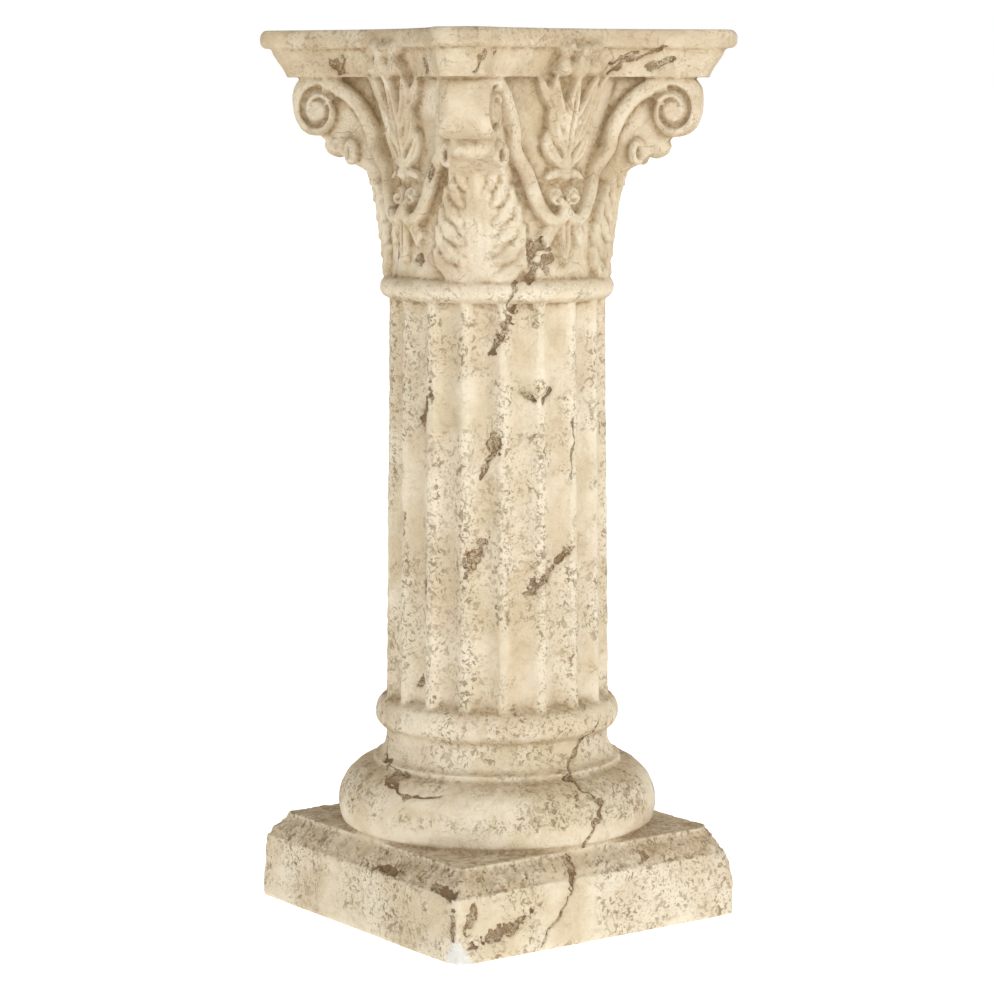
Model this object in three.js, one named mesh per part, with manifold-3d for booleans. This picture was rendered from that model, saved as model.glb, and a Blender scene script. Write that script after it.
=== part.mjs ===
// Corinthian pedestal column, one plaster casting.
// Millimetres, +Z up, origin in the middle of the underside, plinth faces square to X and Y.
import * as THREE from 'three';
import { mergeVertices } from 'three/addons/utils/BufferGeometryUtils.js';
import Module from 'manifold-3d';

const wasm = await Module();
wasm.setup();

// Driving dimensions: the whole
const HEIGHT = 787;
const ROUND_SEGMENTS = 32;
const BELL_SEGMENTS = 20;
const SIDES = 4;
const DEGREE = Math.PI / 180;
const MERGE_DISTANCE = 1e-3;

// Driving dimensions: plinth
const PLINTH_HALF = 153.5;
const SLAB_TOP_HALF = 150.6;
const SLAB_TOP = 59;
const PLATE_HALF = 138.5;
const PLATE_LOW = 77;
const PLATE_TOP = 80;
const OGEE_STEPS = 3;

// Driving dimensions: base mouldings
const FOOT_RADIUS = 137.5;
const FOOT_TOP = 83.5;
const TORUS_CENTRE_RADIUS = 103.5;
const TORUS_CENTRE_Z = 99;
const TORUS_TUBE = 40;
const TORUS_TOP = 137;
const GROOVE_RADIUS = 109;
const GROOVE_Z = 138;
const LIP_RADIUS = 112.3;
const LIP_LOW = 139.5;
const LIP_HIGH = 141.5;
const NECK_RADIUS = 99.8;
const NECK_Z = 162;
const RING_CENTRE_RADIUS = 97;
const RING_CENTRE_Z = 179.5;
const RING_BULGE = 12.3;
const RING_LOW_HEIGHT = 12.5;
const RING_HIGH_HEIGHT = 17.5;
const RING_SHOULDER_END = 90;

// Driving dimensions: fluted shaft
const FLUTES = 18;
const FLUTE_DEPTH = 6;
const FLUTE_PHASE = -2.8 * DEGREE;
const FLUTE_STEPS = 4;
const ARRIS_WIDTH = 5;
const SHAFT_LOW = 190;
const SHAFT_HIGH = 560;
const SHAFT_LOW_RADIUS = 100.6;
const SHAFT_HIGH_RADIUS = 96.4;

// Driving dimensions: astragal and bell
const ASTRAGAL_CENTRE_RADIUS = 94;
const ASTRAGAL_Z = 562.5;
const ASTRAGAL_TUBE = 10.2;
const BELL_LOW = 565;
const BELL_HIGH = 752;
const BELL_RADIUS = 96;
const BELL_WAIST_Z = 680;
const BELL_RIM_RADIUS = 112;

// Driving dimensions: abacus
const ABACUS_LOW = 746;
const ABACUS_STEP = 771;
const HORN_REACH = 206.5;
const HORN_HALF_WIDTH = 22;
const ABACUS_WAIST = 121;
const ABACUS_LOW_SCALE = 0.886;
const ABACUS_ARC_STEPS = 7;

// Driving dimensions: volutes
const VOLUTE_EYE_REACH = 157;
const VOLUTE_EYE_Z = 717.5;
const VOLUTE_TIP_REACH = 181;
const VOLUTE_TIP_HALF_THICKNESS = 19;
const VOLUTE_SPREAD = Math.tan(12 * DEGREE);
const VOLUTE_OUTER = 25.5;
const VOLUTE_INNER = 9.5;
const VOLUTE_STRETCH = 1.17;
const VOLUTE_START = 150 * DEGREE;
const VOLUTE_SWEEP = 640 * DEGREE;
const VOLUTE_STEPS = 16;
const BAND_WIDTH = 9.5;
const BAND_END_WIDTH = 5;
const BAND_RELIEF = 7.5;
const EYE_RADIUS = 6;
const DISC_RADIUS = 21;
const WEB_RELIEF = 10;

// Driving dimensions: lyre stems
const STEM_RADIUS = 6;
const STEM_STEPS = 8;
const STEM_SIDES = 4;
const CUSP_Z = 631;

// Driving dimensions: corner leaves
const LEAF_LOW = 572;
const LEAF_HIGH = 676;
const LEAF_FOOT_RADIUS = 101;
const LEAF_TOP_RADIUS = 118;
const LEAF_FLARE = 10;
const LEAF_HALF_WIDTH = 45;
const LEAF_EDGE_RELIEF = 6;
const LEAF_COLUMNS = 6;
const LEAF_ROWS = 8;
const LEAF_NOTCH = 0.76;
const LEAF_NOTCH_DEPTH = 5;
const LEAF_GROOVE = 3.5;
const CURL_REACH = 139;
const CURL_Z = 685.5;
const CURL_RADIUS = 11.5;
const CURL_HALF_WIDTH = 20;
const CURL_SIDES = 8;
const CURL_END_BULGE = 3;

// Driving dimensions: palmettes, hanging leaves and fleurons
const PALMETTE_FOOT_Z = 650;
const PETAL_SEGMENTS = 5;
const PETAL_RINGS = 3;
const HANGING_Z = 618;
const FLEURON_Z = 762;
const FLEURON_REACH = 116;

// Driving dimensions: wear
const WORN_CORNER_REACH = 213;
const WORN_CORNER_SLOPE = 12 * DEGREE;
const CHIP_REACH = 204;
const CHIP_SIZE = 60;
const CHIP_Z = -16;

const point = (x, y) => new THREE.Vector2(x, y);

// Points along an ellipse in the radius and height plane, both ends included
function ellipseArc(centreR, centreZ, halfR, halfZ, from, to, steps) {
  return Array.from({ length: steps + 1 }, (_, i) => {
    const angle = from + ((to - from) * i) / steps;
    return point(centreR + halfR * Math.cos(angle), centreZ + halfZ * Math.sin(angle));
  });
}

// Closed solid of a geometry: shared corners merged, flat triangles dropped, faces turned outwards
function solidOf(geometry) {
  const bare = new THREE.BufferGeometry();
  bare.setAttribute('position', geometry.getAttribute('position'));
  bare.setIndex(geometry.index);
  const merged = mergeVertices(bare, MERGE_DISTANCE);
  const corners = merged.getAttribute('position');
  const [a, b, c] = [new THREE.Vector3(), new THREE.Vector3(), new THREE.Vector3()];
  const triangles = [];
  let volume = 0;
  for (let i = 0; i < merged.index.count; i += 3) {
    const [p, q, r] = [0, 1, 2].map((k) => merged.index.getX(i + k));
    if (p === q || q === r || r === p) continue;
    a.fromBufferAttribute(corners, p);
    b.fromBufferAttribute(corners, q);
    c.fromBufferAttribute(corners, r);
    volume += a.dot(b.cross(c));
    triangles.push([p, q, r]);
  }
  const outward = volume > 0 ? triangles : triangles.map(([p, q, r]) => [p, r, q]);
  return new wasm.Manifold(new wasm.Mesh({
    numProp: 3,
    vertProperties: new Float32Array(corners.array),
    triVerts: new Uint32Array(outward.flat()),
  }));
}

// Moves each corner of a geometry to where place(x, y, z) says
function reshape(geometry, place) {
  const corners = geometry.getAttribute('position');
  for (let i = 0; i < corners.count; i += 1) {
    const moved = place(corners.getX(i), corners.getY(i), corners.getZ(i));
    corners.setXYZ(i, moved.x, moved.y, moved.z);
  }
  return geometry;
}

// Solid of revolution about the Z axis
function turned(profile, segments, start = 0) {
  return solidOf(new THREE.LatheGeometry(profile, segments, start).rotateX(Math.PI / 2));
}

// Point at a bearing from the middle of the -Y face, a radius and a height
function onFace(bearing, radius, z) {
  return new THREE.Vector3(radius * Math.sin(bearing), -radius * Math.cos(bearing), z);
}

// Point at a reach along the +X -Y diagonal, an offset towards the -Y side and a height
function onCorner(reach, offset, z) {
  return new THREE.Vector3((reach - offset) * Math.SQRT1_2, -(reach + offset) * Math.SQRT1_2, z);
}

// Plinth: drafted slab, ogee and plate
function plinth() {
  const ogee = Array.from({ length: OGEE_STEPS + 1 }, (_, i) => {
    const up = i / OGEE_STEPS;
    const half = SLAB_TOP_HALF - (SLAB_TOP_HALF - PLATE_HALF) * THREE.MathUtils.smoothstep(up, 0, 1);
    return point(half, SLAB_TOP + (PLATE_LOW - SLAB_TOP) * up);
  });
  const profile = [
    point(0, 0),
    point(PLINTH_HALF, 0),
    ...ogee,
    point(PLATE_HALF, PLATE_TOP),
    point(0, PLATE_TOP),
  ];
  const toCorner = profile.map((p) => point(p.x * Math.SQRT2, p.y));
  return turned(toCorner, SIDES, Math.PI / 4);
}

// Base mouldings: foot, torus, groove, lip, scotia and ring with its shoulder
function base() {
  const torusFrom = Math.asin((FOOT_TOP - TORUS_CENTRE_Z) / TORUS_TUBE);
  const torusTo = Math.asin((TORUS_TOP - TORUS_CENTRE_Z) / TORUS_TUBE);
  const shoulder = 50 * DEGREE;
  const ring = ellipseArc(
    RING_CENTRE_RADIUS, RING_CENTRE_Z, RING_BULGE, RING_HIGH_HEIGHT, 0, shoulder, 2,
  );
  const last = ring[ring.length - 1];
  const shoulderTop = last.y + last.x - RING_SHOULDER_END;
  const profile = [
    point(0, SLAB_TOP),
    point(FOOT_RADIUS, SLAB_TOP),
    point(FOOT_RADIUS, FOOT_TOP),
    ...ellipseArc(
      TORUS_CENTRE_RADIUS, TORUS_CENTRE_Z, TORUS_TUBE, TORUS_TUBE, torusFrom, torusTo, 6,
    ),
    point(GROOVE_RADIUS, GROOVE_Z),
    point(LIP_RADIUS, LIP_LOW),
    ...ellipseArc(
      LIP_RADIUS, NECK_Z, LIP_RADIUS - NECK_RADIUS, NECK_Z - LIP_HIGH,
      1.5 * Math.PI, Math.PI, 3,
    ),
    ...ellipseArc(
      RING_CENTRE_RADIUS, RING_CENTRE_Z, RING_BULGE, RING_LOW_HEIGHT, -75 * DEGREE, -25 * DEGREE, 2,
    ),
    ...ring,
    point(RING_SHOULDER_END, shoulderTop),
    point(0, shoulderTop),
  ];
  return turned(profile, ROUND_SEGMENTS);
}

// Shaft: flutes with narrow flat arrises, drawn in towards the top
function shaft() {
  const pitch = (2 * Math.PI) / FLUTES;
  const half = (pitch - ARRIS_WIDTH / SHAFT_LOW_RADIUS) / 2;
  const outline = [];
  for (let flute = 0; flute < FLUTES; flute += 1) {
    for (let step = 0; step <= FLUTE_STEPS; step += 1) {
      const across = (2 * step) / FLUTE_STEPS - 1;
      const bearing = FLUTE_PHASE + flute * pitch + across * half;
      const radius = 1 - (FLUTE_DEPTH / SHAFT_LOW_RADIUS) * (1 - across * across);
      outline.push(point(radius * Math.sin(bearing), -radius * Math.cos(bearing)));
    }
  }
  const body = new THREE.ExtrudeGeometry(new THREE.Shape(outline), {
    depth: SHAFT_HIGH - SHAFT_LOW,
    bevelEnabled: false,
  });
  const taper = (SHAFT_HIGH_RADIUS - SHAFT_LOW_RADIUS) / (SHAFT_HIGH - SHAFT_LOW);
  return solidOf(reshape(body, (x, y, z) => {
    const radius = SHAFT_LOW_RADIUS + taper * z;
    return new THREE.Vector3(x * radius, y * radius, SHAFT_LOW + z);
  }));
}

// Astragal: half round under the capital
function astragal() {
  const edge = 75 * DEGREE;
  const round = ellipseArc(
    ASTRAGAL_CENTRE_RADIUS, ASTRAGAL_Z, ASTRAGAL_TUBE, ASTRAGAL_TUBE, -edge, edge, 5,
  );
  const ends = [round[0].y, round[round.length - 1].y];
  return turned([point(0, ends[0]), ...round, point(0, ends[1])], ROUND_SEGMENTS);
}

// Bell radius at a height
function bellRadius(z) {
  const rise = Math.max(0, z - BELL_WAIST_Z) / (ABACUS_LOW - BELL_WAIST_Z);
  return BELL_RADIUS + (BELL_RIM_RADIUS - BELL_RADIUS) * Math.min(1, rise) ** 1.2;
}

// Bell: the plain core of the capital
function bell() {
  const levels = [BELL_LOW, BELL_WAIST_Z, (BELL_WAIST_Z + ABACUS_LOW) / 2, ABACUS_LOW, BELL_HIGH];
  const side = levels.map((z) => point(bellRadius(z), z));
  return turned([point(0, BELL_LOW), ...side, point(0, BELL_HIGH)], BELL_SEGMENTS);
}

// Abacus: hollow sides and blunt horns, cavetto face under a rounded lip
function abacus() {
  const far = (HORN_REACH + HORN_HALF_WIDTH) * Math.SQRT1_2;
  const near = (HORN_REACH - HORN_HALF_WIDTH) * Math.SQRT1_2;
  const sag = far - ABACUS_WAIST;
  const arcRadius = (near * near + sag * sag) / (2 * sag);
  const arcHalf = Math.asin(near / arcRadius);
  const outline = [];
  for (let side = 0; side < SIDES; side += 1) {
    for (let step = 0; step <= ABACUS_ARC_STEPS; step += 1) {
      const swing = arcHalf * ((2 * step) / ABACUS_ARC_STEPS - 1);
      const onArc = point(
        arcRadius * Math.sin(swing),
        arcRadius * Math.cos(swing) - ABACUS_WAIST - arcRadius,
      );
      outline.push(onArc.rotateAround(point(0, 0), side * Math.PI / 2));
    }
  }
  const rows = [
    [ABACUS_LOW, ABACUS_LOW_SCALE],
    [755, 0.912],
    [764, 0.945],
    [ABACUS_STEP, 0.968],
    [ABACUS_STEP + 1.5, 0.984],
    [ABACUS_STEP + 6, 1],
    [HEIGHT - 4, 1],
    [HEIGHT, 0.982],
  ];
  const body = new THREE.ExtrudeGeometry(new THREE.Shape(outline), {
    depth: rows.length - 1,
    steps: rows.length - 1,
    bevelEnabled: false,
  });
  return solidOf(reshape(body, (x, y, row) => {
    const [z, scale] = rows[Math.round(row)];
    return new THREE.Vector3(x * scale, y * scale, z);
  }));
}

// Half the thickness of a volute block at a reach along the diagonal
function voluteHalf(reach) {
  return VOLUTE_TIP_HALF_THICKNESS + (VOLUTE_TIP_REACH - reach) * VOLUTE_SPREAD;
}

// Block drawn in the reach and height plane and carried across the corner, set back from the faces
function cornerBlock(outline, setBack) {
  const body = new THREE.ExtrudeGeometry(new THREE.Shape(outline), {
    depth: 2,
    bevelEnabled: false,
  });
  return solidOf(reshape(body, (reach, z, across) => (
    onCorner(reach, (across - 1) * (voluteHalf(reach) - setBack), z)
  )));
}

// Point of the volute plane at an angle and a radius about the eye
function aboutEye(angle, radius) {
  return point(
    VOLUTE_EYE_REACH + radius * Math.cos(angle),
    VOLUTE_EYE_Z + VOLUTE_STRETCH * radius * Math.sin(angle),
  );
}

// Corner volute: rolled band on a set-back web that runs in to the bell
function volute() {
  const outer = [];
  const inner = [];
  for (let step = 0; step <= VOLUTE_STEPS; step += 1) {
    const way = step / VOLUTE_STEPS;
    const angle = VOLUTE_START - VOLUTE_SWEEP * way;
    const radius = VOLUTE_OUTER + (VOLUTE_INNER - VOLUTE_OUTER) * way ** 1.3;
    outer.push(aboutEye(angle, radius));
    inner.push(aboutEye(angle, radius - BAND_WIDTH - (BAND_END_WIDTH - BAND_WIDTH) * way));
  }
  const webTop = ABACUS_LOW + 2;
  const webLow = VOLUTE_EYE_Z - VOLUTE_OUTER;
  const web = [
    point(BELL_RADIUS - WEB_RELIEF, webLow),
    aboutEye(-100 * DEGREE, DISC_RADIUS),
    aboutEye(-55 * DEGREE, DISC_RADIUS),
    aboutEye(-10 * DEGREE, DISC_RADIUS),
    aboutEye(40 * DEGREE, DISC_RADIUS),
    point(VOLUTE_EYE_REACH + EYE_RADIUS, webTop),
    point(BELL_RADIUS - WEB_RELIEF, webTop),
  ];
  return cornerBlock([...outer, ...inner.reverse()], 0).add(cornerBlock(web, BAND_RELIEF));
}

// Lyre stem: band from the cusp at the face's middle up into the volute band
function stem() {
  const bearings = [[0, 101, 0], [7, 101.5, -7], [12.5, 102.5, -3], [17, 104, 8], [21, 107, 25]];
  const low = bearings.map(([degrees, radius, rise]) => (
    onFace(degrees * DEGREE, radius, CUSP_Z + rise)
  ));
  const high = [[105, 674], [111, 690], [119, 708], [130, 730]].map(([reach, z]) => (
    onCorner(reach, voluteHalf(reach), z)
  ));
  const section = Array.from({ length: STEM_SIDES }, (_, i) => {
    const angle = (2 * Math.PI * i) / STEM_SIDES;
    return point(STEM_RADIUS * Math.cos(angle), STEM_RADIUS * Math.sin(angle));
  });
  return new THREE.ExtrudeGeometry(new THREE.Shape(section), {
    steps: STEM_STEPS,
    extrudePath: new THREE.CatmullRomCurve3([...low, ...high]),
  });
}

// Corner leaf: lobed blade with a midrib, swelling from the astragal towards the volute
function leaf() {
  const blade = new THREE.BoxGeometry(2, 1, 1, LEAF_COLUMNS, LEAF_ROWS, 1);
  return solidOf(reshape(blade, (u, v, face) => {
    const up = v + 0.5;
    const z = LEAF_LOW + (LEAF_HIGH - LEAF_LOW) * up;
    const row = Math.round(up * LEAF_ROWS);
    const fullness = 0.72 + 0.28 * Math.sin(Math.PI * Math.min(1, 0.15 + 0.95 * up));
    const width = LEAF_HALF_WIDTH * fullness * (row % 2 ? 1 : LEAF_NOTCH);
    const middle = LEAF_FOOT_RADIUS + (LEAF_TOP_RADIUS - LEAF_FOOT_RADIUS) * up ** 1.3
      + LEAF_FLARE * up ** 8;
    const edge = bellRadius(z) + LEAF_EDGE_RELIEF;
    const column = Math.round(Math.abs(u) * LEAF_COLUMNS / 2);
    const groove = column === 1 ? LEAF_GROOVE : 0;
    const notch = column > 1 && row % 2 === 0 ? LEAF_NOTCH_DEPTH : 0;
    const front = middle + (edge - middle) * u * u - groove - notch;
    const radius = face > 0 ? front : BELL_RADIUS - LEAF_EDGE_RELIEF;
    const bearing = Math.PI / 4 + (u * width) / middle;
    return onFace(bearing, radius, z);
  }));
}

// Rolled tip of a corner leaf, its ends slightly domed
function curl() {
  const roll = new THREE.CylinderGeometry(1, 1, 2, CURL_SIDES, 1);
  return solidOf(reshape(roll, (x, y, z) => onCorner(
    CURL_REACH + CURL_RADIUS * z,
    y * (CURL_HALF_WIDTH + CURL_END_BULGE * (1 - x * x - z * z)),
    CURL_Z + CURL_RADIUS * x,
  )));
}

// Petal: drop shape lying on a face, set by lateral place, height, length, width, height of relief and lean
function petal(radiusAt, across, z, length, width, relief, lean) {
  const drop = new THREE.SphereGeometry(1, PETAL_SEGMENTS, PETAL_RINGS);
  return solidOf(reshape(drop, (x, y, depth) => {
    const fat = width * (1 - 0.35 * y);
    const right = across + x * fat * Math.cos(lean) + y * length * Math.sin(lean);
    const height = z + y * length * Math.cos(lean) - x * fat * Math.sin(lean);
    const radius = radiusAt(height);
    return onFace(right / radius, radius + depth * relief, height);
  }));
}

// Palmette of a face: scroll feet, cup, side lobes and a tall middle lobe
function palmette() {
  const half = [
    [9, PALMETTE_FOOT_Z - 1, 6.5, 6, 6, 0],
    [13, PALMETTE_FOOT_Z + 15, 11, 5, 6, 60],
    [12, PALMETTE_FOOT_Z + 40, 17, 6.5, 8, 28],
    [13, PALMETTE_FOOT_Z + 68, 17, 6.5, 8, 24],
  ];
  const lobes = [petal(bellRadius, 0, PALMETTE_FOOT_Z + 52, 44, 7, 10, 0)];
  for (const [across, z, length, width, relief, lean] of half) {
    for (const side of [1, -1]) {
      lobes.push(petal(bellRadius, side * across, z, length, width, relief, side * lean * DEGREE));
    }
  }
  return lobes;
}

// Hanging leaf under the cusp: three lobes pointing down
function hangingLeaf() {
  return [-1, 0, 1].map((side) => petal(
    bellRadius, side * 11, HANGING_Z - (side ? 10 : 16), side ? 15 : 20, 7, 7.5,
    Math.PI - side * 24 * DEGREE,
  ));
}

// Fleuron in the middle of an abacus side: four petals round a curled tip
function fleuron() {
  const reach = () => FLEURON_REACH;
  const petals = [petal(reach, 0, FLEURON_Z - 1, 13, 7.5, 12, 0)];
  for (const side of [1, -1]) {
    petals.push(petal(reach, side * 13, FLEURON_Z + 8, 9.5, 8, 9, side * 50 * DEGREE));
    petals.push(petal(reach, side * 14, FLEURON_Z - 7, 9, 8, 7, side * 110 * DEGREE));
  }
  return petals;
}

// Worn plinth corners: the rounded +X -Y corner and the chip at the foot of the -X -Y corner
function wear() {
  const worn = new THREE.BoxGeometry(CHIP_SIZE, 2 * CHIP_SIZE, 4 * CHIP_SIZE)
    .translate(CHIP_SIZE / 2, 0, 0)
    .rotateY(-WORN_CORNER_SLOPE)
    .translate(WORN_CORNER_REACH, 0, SLAB_TOP / 2)
    .rotateZ(-Math.PI / 4);
  const chip = new THREE.BoxGeometry(CHIP_SIZE, CHIP_SIZE, CHIP_SIZE)
    .rotateY(Math.PI / 4)
    .translate(CHIP_REACH + CHIP_SIZE / 2, 0, CHIP_Z)
    .rotateZ(-0.75 * Math.PI);
  return [solidOf(worn), solidOf(chip)];
}

// Copy of a solid turned about the Z axis
function turnedCopy(solid, angle) {
  const { vertProperties, triVerts } = solid.getMesh();
  const corners = new THREE.BufferAttribute(new Float32Array(vertProperties), 3);
  corners.applyMatrix4(new THREE.Matrix4().makeRotationZ(angle));
  return new wasm.Manifold(new wasm.Mesh({ numProp: 3, vertProperties: corners.array, triVerts }));
}

// Ornament of one corner and of the face beside it, the second stem mirrored across the diagonal
const farStem = reshape(stem(), (x, y, z) => new THREE.Vector3(-y, -x, z));
const quarter = [
  volute(), solidOf(stem()), solidOf(farStem), leaf(), curl(),
  ...palmette(), ...hangingLeaf(), ...fleuron(),
].reduce((all, next) => all.add(next));

// The casting
let casting = [plinth(), base(), shaft(), astragal(), bell(), abacus()]
  .reduce((all, next) => all.add(next));
for (let side = 0; side < SIDES; side += 1) {
  casting = casting.add(turnedCopy(quarter, (side * 2 * Math.PI) / SIDES));
}
for (const cut of wear()) casting = casting.subtract(cut);

const { vertProperties, triVerts } = casting.getMesh();
const geometry = new THREE.BufferGeometry();
geometry.setAttribute('position', new THREE.BufferAttribute(new Float32Array(vertProperties), 3));
geometry.setIndex(new THREE.BufferAttribute(new Uint32Array(triVerts), 1));
const shape = geometry.toNonIndexed();
shape.computeVertexNormals();

const column = new THREE.Mesh(shape, new THREE.MeshStandardMaterial({
  color: 0xd9ccae,
  roughness: 0.9,
  metalness: 0,
}));
column.name = 'column';

const part = new THREE.Group();
part.add(column);

export default part;
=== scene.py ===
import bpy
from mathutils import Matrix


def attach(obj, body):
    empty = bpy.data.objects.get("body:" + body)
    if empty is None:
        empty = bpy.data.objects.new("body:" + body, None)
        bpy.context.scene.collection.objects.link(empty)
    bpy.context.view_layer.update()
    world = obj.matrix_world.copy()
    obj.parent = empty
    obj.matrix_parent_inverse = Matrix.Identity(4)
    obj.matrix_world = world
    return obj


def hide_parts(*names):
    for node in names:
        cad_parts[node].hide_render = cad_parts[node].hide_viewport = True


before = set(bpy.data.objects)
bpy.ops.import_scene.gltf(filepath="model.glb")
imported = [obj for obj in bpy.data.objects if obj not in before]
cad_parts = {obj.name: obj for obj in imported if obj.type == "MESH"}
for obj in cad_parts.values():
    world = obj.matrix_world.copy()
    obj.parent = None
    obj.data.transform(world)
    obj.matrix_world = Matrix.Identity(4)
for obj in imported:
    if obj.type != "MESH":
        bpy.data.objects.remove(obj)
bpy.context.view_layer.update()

import bpy
import numpy as np
from mathutils import Matrix, Vector

# Corinthian pedestal column: one plaster casting with an antiqued stone finish.
# Sizes are in millimetres and MM turns them into metres.
# Bearings run from the middle of the -Y face towards +X.
MM = 0.001
HEIGHT = 787.0
SIDES = 4
VOXEL = 1.3
MOST_TRIANGLES = 197000
SEED = 11

# Plinth
PLINTH_HALF = 155.3
SLAB_TOP_HALF = 152.4
SLAB_TOP = 59.0
PLATE_HALF = 138.5
PLATE_LOW = 77.0
PLATE_TOP = 80.0
OGEE_FILLET = 3.4
FILLET_HALF_HEIGHT = 1.0
OGEE_LOW = 62.0
PLATE_EASE = 1.0
CORNER_SQUARENESS = 110.0
# Height and set-back along the eased lower edge of the slab
LOWER_EDGE = [(0, 2), (1.5, 0.6), (4, 0)]

# Base mouldings
FOOT_RADIUS = 137.5
FOOT_TOP = 83.5
TORUS_CENTRE_RADIUS = 103.5
TORUS_CENTRE_Z = 99.0
TORUS_TUBE = 40.0
TORUS_TOP = 135.6
GROOVE_RADIUS = 108.0
GROOVE_LOW = 136.2
GROOVE_HIGH = 138.0
LIP_RADIUS = 111.8
LIP_LOW = 138.6
LIP_HIGH = 142.0
NECK_RADIUS = 99.8
NECK_Z = 162.0
RING_CENTRE_RADIUS = 97.0
RING_CENTRE_Z = 179.5
RING_BULGE = 12.3
RING_LOW_HEIGHT = 12.5
RING_HIGH_HEIGHT = 17.5
RING_SHOULDER_END = 86.0
RING_SHOULDER_SLOPE = 0.4

# Fluted shaft
FLUTES = 18
FLUTE_DEPTH = 7.6
FLUTE_PHASE = np.radians(-2.8)
ARRIS_SHARE = 0.2
SHAFT_LOW = 190.0
SHAFT_HIGH = 560.0
SHAFT_LOW_RADIUS = 100.6
SHAFT_HIGH_RADIUS = 96.4

# Rings of the turned body, closer together on the base and the carved bell than on the plain shaft
CORE_LOW = 70.0
PLAIN_LOW = 206.0
PLAIN_HIGH = 548.0
BASE_STEP = 0.7
SHAFT_STEP = 2.0
BELL_STEP = 0.8
SLAB_STEP = 6.0
CORE_SIDES = 864
OVERLAP = 3.0

# Astragal and bell
ASTRAGAL_CENTRE_RADIUS = 94.0
ASTRAGAL_Z = 562.5
ASTRAGAL_TUBE = 10.2
BELL_RADIUS = 96.0
BELL_WAIST_Z = 680.0
BELL_RIM_RADIUS = 112.0
FACE_RADIUS = 104.0

# Abacus
ABACUS_LOW = 746.0
ABACUS_STEP = 771.0
HORN_REACH = 211.0
HORN_HALF_WIDTH = 22.0
HORN_STEPS = 24
HORN_ROUNDING = 9
ABACUS_WAIST = 121.0
# Height and share of the full outline, from the underside over cavetto and step to the lip
ABACUS_PROFILE = [
    (ABACUS_LOW, 0.886), (750, 0.893), (755, 0.91), (760, 0.928), (765, 0.944), (768, 0.95),
    (ABACUS_STEP - 0.6, 0.95), (ABACUS_STEP, 0.984), (772.5, 0.994), (775, 1.0), (782, 1.0),
    (785, 0.995), (HEIGHT, 0.982),
]

# Volutes and their stems
VOLUTE_EYE_REACH = 157.0
VOLUTE_EYE_Z = 717.5
VOLUTE_TIP_REACH = 181.0
VOLUTE_TIP_HALF_THICKNESS = 20.5
VOLUTE_SPREAD = np.tan(np.radians(12.0))
VOLUTE_OUTER = 27.5
VOLUTE_INNER = 2.5
VOLUTE_HALF_TURN = np.radians(360.0)
VOLUTE_FALL = 2.2
VOLUTE_STRETCH = 1.14
VOLUTE_START = np.radians(150.0)
VOLUTE_RIM_ROUNDING = 8.0
VOLUTE_SHOULDER = 3.2
VOLUTE_LAPS = 3
BAND_SHARE = 0.6
BAND_RELIEF = 8.0
BAND_GROOVE_FILL = 0.55
EYE_RADIUS = 4.0
EYE_EASE_RADIUS = 9.0
WEB_RELIEF = 11.0
WEB_PAST_EYE = 8.0
# Reach and height along the lower edge of the wall behind a volute
WEB_LOWER_EDGE = [(80, 650), (118, 666), (140, 680), (152, 690), (165, 704)]
STEM_HALF_WIDTH = 7.2
STEM_HALF_HEIGHT = 8.0
STEM_STAND = 1.5
STEM_OVER_BLOCK = 0.5
STEM_TAPER = (0.8, 1.05)
STEM_SQUARENESS = 2.8
STEM_TURN_LOW = 670.0
STEM_TURN_HIGH = 720.0
# Distance along the face and height on the bell, then reach and height on the corner block
STEM_LOW = [(0, 633), (5, 626), (13, 623.5), (22, 629), (29, 640), (35, 654), (40, 667)]
STEM_HIGH = [(101, 684), (105, 699), (112, 713), (123, 727), (137, 737), (150, 742)]

# Leaves and flowers
LEAF_LOW = 572.0
LEAF_HIGH = 677.0
LEAF_FOOT_RADIUS = 101.0
LEAF_TOP_RADIUS = 118.0
LEAF_FLARE = 10.0
LEAF_HALF_WIDTH = 48.0
LEAF_EDGE_RELIEF = 6.5
LEAF_BLADE_HALF_WIDTH = 21.0
LEAF_CUT = 4.0
LEAF_BLADE_STAND = 0.9
LEAF_BLADE_EASE = 3.0
LEAF_LOBE_STAND = 1.0
LOBE_STEPS = 24
LOBE_WAVE_SHARE = 0.13
LOBE_WAVE_RATE = 17.0
LEAF_VEIN_DEPTH = 2.2
LEAF_VEIN_HALF_WIDTH = 1.3
RIB_SPACING = 8.0
RIB_RELIEF = 0.6
RIBS_HALF_WIDTH = 18.0
RIBS_EASE = 10.0
RIBS_FULL_Z = 610.0
# Reach and height along the neck between a leaf's blade and its rolled tip
TONGUE_PATH = [(98, 650), (110, 664), (121, 674), (131, 682), (139, 688)]
TONGUE_HALF_WIDTHS = (22.0, 17.0)
TONGUE_HALF_THICKNESS = 4.5
TONGUE_SQUARENESS = 2.6
CURL_REACH = 142.0
CURL_Z = 686.5
CURL_HALF_REACH = 13.5
CURL_HALF_RISE = 11.0
CURL_HALF_WIDTH = 17.5
CURL_BLUNTNESS = 2.8
# Coils beside a leaf's tip: reach, offset and height of the middle, radius, rise, thickness, turn in degrees
EDGE_COIL = (126.5, 22.5, 681, 5.4, 8.2, 3.6, 38)
TIP_COIL = (CURL_REACH - 1, CURL_HALF_WIDTH - 1.5, CURL_Z, 4.6, 4.6, 2.7, 90)
# Small scrolls under the palmette
SCROLL_X = 9.5
SCROLL_Z = 644.0
SCROLL_RADIUS = 8.2
SCROLL_RELIEF = 7.5
SCROLL_COIL_RADIUS = 4.0
SCROLL_COIL_GROWTH = 1.3
SCROLL_COIL_HALF_WIDTH = 1.5
SCROLL_COIL_DEPTH = 5.5
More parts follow.
